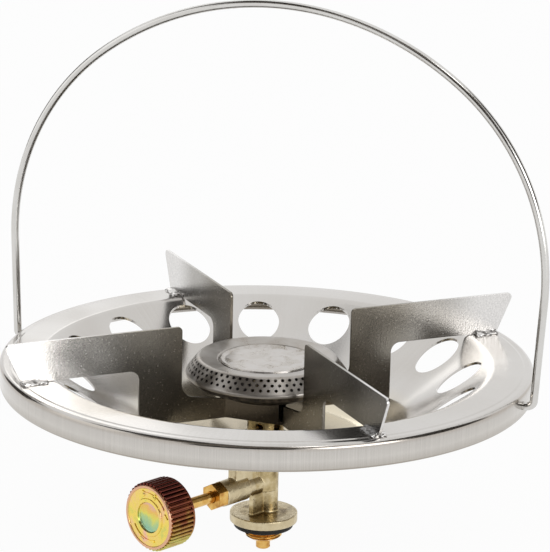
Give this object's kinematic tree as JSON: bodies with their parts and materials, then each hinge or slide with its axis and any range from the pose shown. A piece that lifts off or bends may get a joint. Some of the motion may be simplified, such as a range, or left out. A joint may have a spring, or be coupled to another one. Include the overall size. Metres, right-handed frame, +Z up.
{
  "type": "single burner camping stove",
  "caption": "Round steel dish stove with a perforated burner, radial pan blades, a knob valve on a side arm, a threaded gas inlet below and a swinging wire carry handle.",
  "frame": {"origin": "on the burner axis, in the plane where the gasket seats on the gas cylinder, at the top of the exposed thread", "axes": "+Z up along the burner axis; X along the carry handle's pivot line; the valve knob points to -Y and a little to -X"},
  "size_m": [0.2362, 0.22, 0.2317],
  "materials": {
    "dish_steel": "satin stainless steel, pressed",
    "blade_steel": "fine grained stainless sheet",
    "burner_steel": "pressed stainless steel",
    "wire_steel": "bright drawn wire",
    "plated_brass": "rough cast brass with a thin nickel plating",
    "bare_brass": "turned brass",
    "yellow_chromate": "zinc with an iridescent yellow chromate coat",
    "black_rubber": "smooth black rubber"
  },
  "bodies": {
    "stove": {"dish": "dish_steel", "pan_support": "blade_steel", "burner_cup": "burner_steel", "flame_ring": "burner_steel", "top_disc": "burner_steel", "mixing_tube": "bare_brass", "lock_washer": "blade_steel", "injector_jet": "bare_brass", "jet_gauze": "bare_brass", "valve_body": "plated_brass", "inlet_pin": "bare_brass", "cylinder_gasket": "black_rubber", "gland_nut": "bare_brass", "gland_washer": "bare_brass"},
    "handle": {"carry_handle": "wire_steel"},
    "spindle_seal": {"spindle_o_ring": "black_rubber"},
    "valve_spindle": {"spindle": "bare_brass", "knob": "yellow_chromate"}
  },
  "joints": [
    {"name": "handle_swing", "type": "hinge", "parent": "stove", "child": "handle", "pos_m": [0, 0, 0.0684], "axis": [1, 0, 0], "range_deg": [-98, 102]},
    {"name": "spindle_travel", "type": "slide", "parent": "stove", "child": "spindle_seal", "axis": [-0.3987, -0.9171, 0], "range_m": [0, 0.0015]},
    {"name": "valve_turn", "type": "hinge", "parent": "spindle_seal", "child": "valve_spindle", "pos_m": [0, 0, 0.02], "axis": [-0.3987, -0.9171, 0], "range_deg": [0, 541.5]}
  ],
  "couplings": [
    {"joint": "valve_turn", "follows": "spindle_travel", "rad_per_m": 6283.2}
  ]
}
